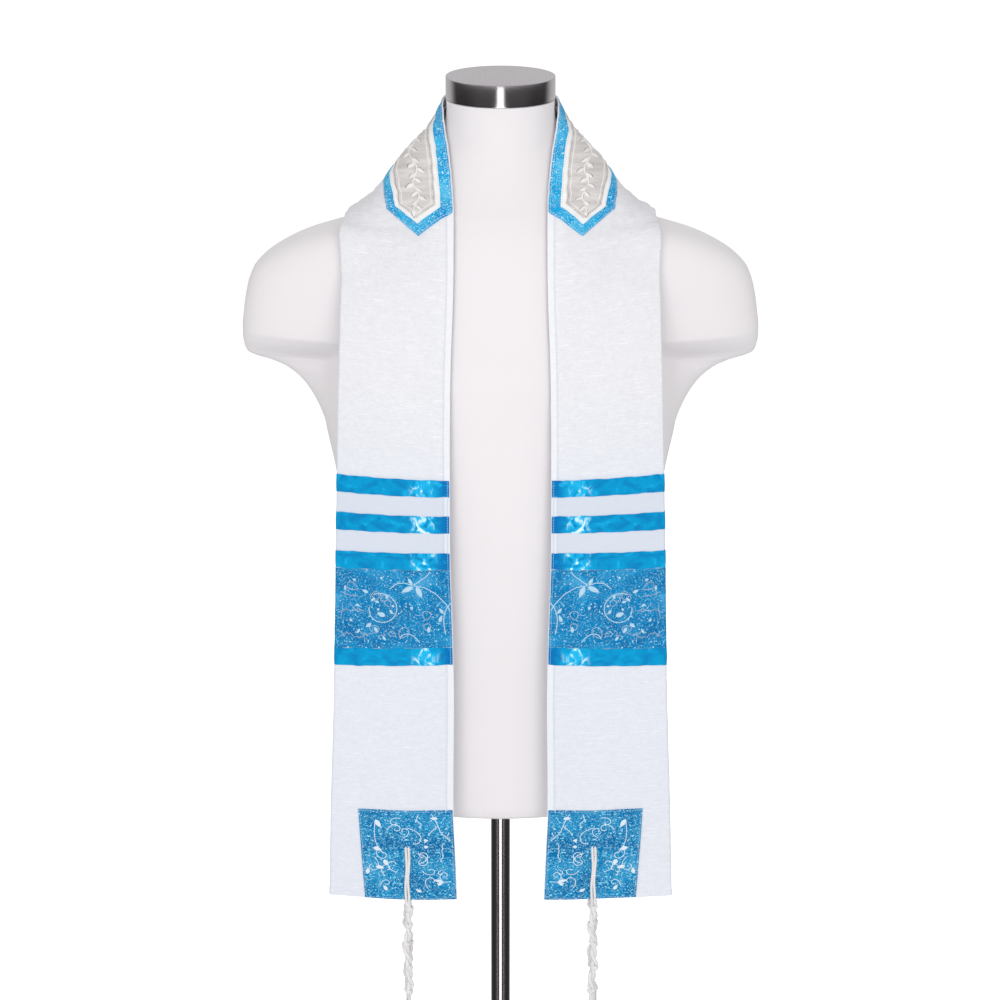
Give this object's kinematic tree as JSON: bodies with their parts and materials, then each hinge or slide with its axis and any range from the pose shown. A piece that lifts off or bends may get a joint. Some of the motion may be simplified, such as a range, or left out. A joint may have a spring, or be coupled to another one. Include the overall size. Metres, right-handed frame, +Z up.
{
  "type": "tallit prayer shawl on a limbless dress form with neck cap, pole and round base",
  "caption": "Long fringed prayer shawl folded in four and worn scarf-wise round the neck of a limbless dress form on a pole and round base.",
  "frame": {"origin": "on the floor under the pole's axis, which is the centre of the base's underside", "axes": "+Z up along the pole, the front of the shawl towards -Y, the wearer's sides along X"},
  "size_m": [0.517, 0.32, 1.447],
  "materials": {
    "white_slub_cloth": "matte plain weave with fine slubs",
    "white_cotton_margin": "white piping strip",
    "blue_brocade": "woven brocade, semi-matte",
    "blue_satin": "satin ribbon",
    "silver_satin": "silver-grey satin",
    "white_cord": "twisted thread",
    "white_jersey": "smooth stretched jersey over the form",
    "brushed_steel": "brushed"
  },
  "bodies": {
    "root": {"brocade_band_left": "blue_brocade", "brocade_band_right": "blue_brocade", "corner_patch_left": "blue_brocade", "corner_patch_right": "blue_brocade", "dress_form_torso": "white_jersey", "floor_base": "brushed_steel", "neck_cap": "brushed_steel", "neckband_border": "blue_brocade", "neckband_field": "silver_satin", "neckband_margin": "white_cotton_margin", "pole": "brushed_steel", "ribbon_left_1": "blue_satin", "ribbon_left_2": "blue_satin", "ribbon_left_3": "blue_satin", "ribbon_left_4": "blue_satin", "ribbon_right_1": "blue_satin", "ribbon_right_2": "blue_satin", "ribbon_right_3": "blue_satin", "ribbon_right_4": "blue_satin", "shawl_cloth": "white_slub_cloth", "tassel_front_left": "white_cord", "tassel_front_right": "white_cord", "tassel_rear_left": "white_cord", "tassel_rear_right": "white_cord"}
  },
  "joints": []
}
